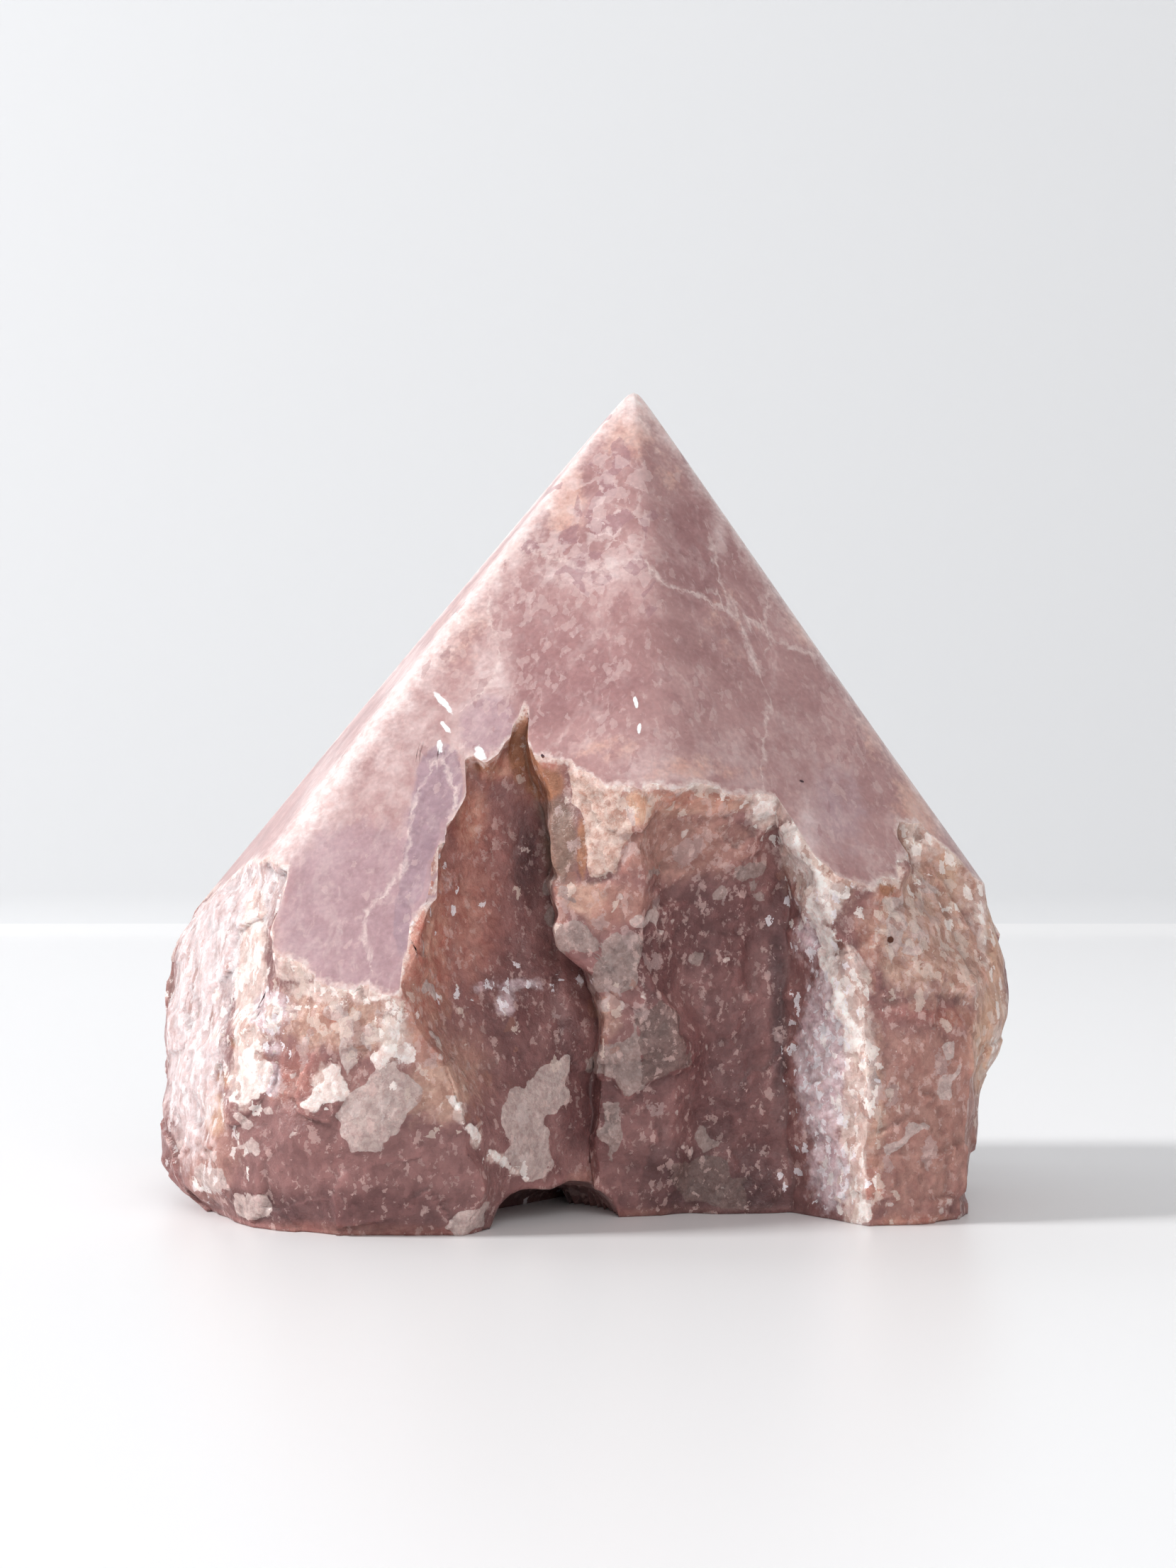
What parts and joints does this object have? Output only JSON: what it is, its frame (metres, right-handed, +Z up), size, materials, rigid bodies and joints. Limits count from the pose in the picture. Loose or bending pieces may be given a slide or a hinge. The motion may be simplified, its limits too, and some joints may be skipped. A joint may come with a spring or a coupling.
{
  "type": "polished mineral point",
  "caption": "Natural pink opal stone, broken and hollowed below, ground and polished to a faceted point on top; it stands on its flat base.",
  "frame": {"origin": "middle of the base, on the surface the stone stands on", "axes": "+Z up to the point, -Y towards the hollowed front, +X to the right seen from the front"},
  "size_m": [0.0795, 0.0565, 0.076],
  "materials": {
    "pink_opal": "polished point over rough broken stone"
  },
  "bodies": {
    "root": {"pink_opal_stone": "pink_opal"}
  },
  "joints": []
}
